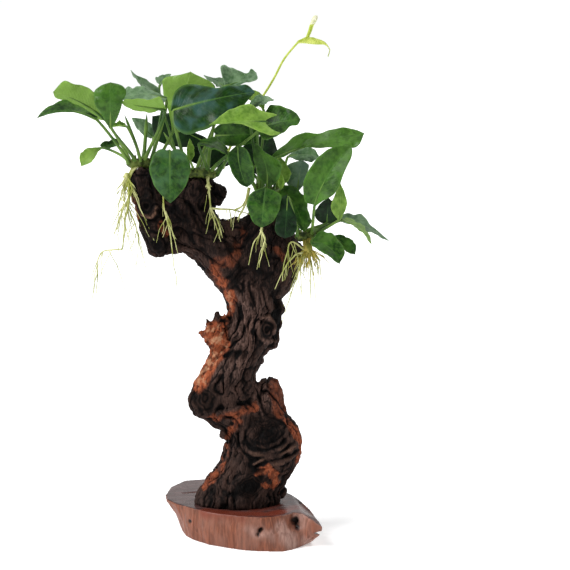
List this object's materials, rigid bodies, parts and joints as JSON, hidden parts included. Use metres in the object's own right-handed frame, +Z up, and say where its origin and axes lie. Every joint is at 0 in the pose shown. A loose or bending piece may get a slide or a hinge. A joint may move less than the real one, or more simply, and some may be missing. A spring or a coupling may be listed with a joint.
{
  "type": "anubias nana on driftwood",
  "caption": "Low aquarium plant with broad leaves on short stalks, a hooded flower and hanging roots, tied on upright forked driftwood that stands on a flat wooden slab.",
  "frame": {"origin": "middle of the slab's flat underside, below the foot of the trunk", "axes": "+Z up, -Y towards the viewer, +X to the viewer's right"},
  "size_m": [0.2752, 0.111, 0.4185],
  "materials": {
    "slab": "oiled, glossy on top",
    "driftwood": "rough, weathered",
    "rhizome": "waxy",
    "root": "dull",
    "leaf_deep": "waxy leaf",
    "leaf_dark": "waxy leaf",
    "leaf_young": "waxy leaf",
    "leaf_pale": "waxy leaf",
    "flower": "waxy",
    "spadix": "dull"
  },
  "bodies": {
    "root": {"base_slab": "slab", "driftwood_limb_left": "driftwood", "driftwood_limb_middle": "driftwood", "driftwood_limb_right": "driftwood", "driftwood_trunk": "driftwood", "flower_spadix": "spadix", "flower_spathe": "flower", "flower_stalk": "flower", "leaf_centre_1": "leaf_pale", "leaf_centre_10": "leaf_pale", "leaf_centre_11": "leaf_pale", "leaf_centre_12": "leaf_young", "leaf_centre_13": "leaf_pale", "leaf_centre_14": "leaf_dark", "leaf_centre_2": "leaf_pale", "leaf_centre_3": "leaf_young", "leaf_centre_4": "leaf_pale", "leaf_centre_5": "leaf_young", "leaf_centre_6": "leaf_deep", "leaf_centre_7": "leaf_young", "leaf_centre_8": "leaf_deep", "leaf_centre_9": "leaf_deep", "leaf_hang_1": "leaf_deep", "leaf_hang_2": "leaf_deep", "leaf_hang_3": "leaf_young", "leaf_hang_4": "leaf_dark", "leaf_left_1": "leaf_deep", "leaf_left_2": "leaf_young", "leaf_left_3": "leaf_deep", "leaf_left_4": "leaf_young", "leaf_left_5": "leaf_young", "leaf_left_6": "leaf_deep", "leaf_left_7": "leaf_pale", "leaf_middle_1": "leaf_deep", "leaf_middle_2": "leaf_deep", "leaf_middle_3": "leaf_young", "leaf_middle_4": "leaf_deep", "leaf_middle_5": "leaf_dark", "leaf_middle_6": "leaf_deep", "leaf_middle_7": "leaf_young", "leaf_middle_8": "leaf_dark", "leaf_right_1": "leaf_deep", "leaf_right_10": "leaf_deep", "leaf_right_2": "leaf_pale", "leaf_right_3": "leaf_deep", "leaf_right_4": "leaf_young", "leaf_right_5": "leaf_dark", "leaf_right_6": "leaf_pale", "leaf_right_7": "leaf_young", "leaf_right_8": "leaf_pale", "leaf_right_9": "leaf_deep", "rhizome_centre": "rhizome", "rhizome_left": "rhizome", "rhizome_middle": "rhizome", "rhizome_right": "rhizome", "roots_centre": "root", "roots_front": "root", "roots_left": "root", "roots_middle": "root", "roots_right": "root"}
  },
  "joints": []
}
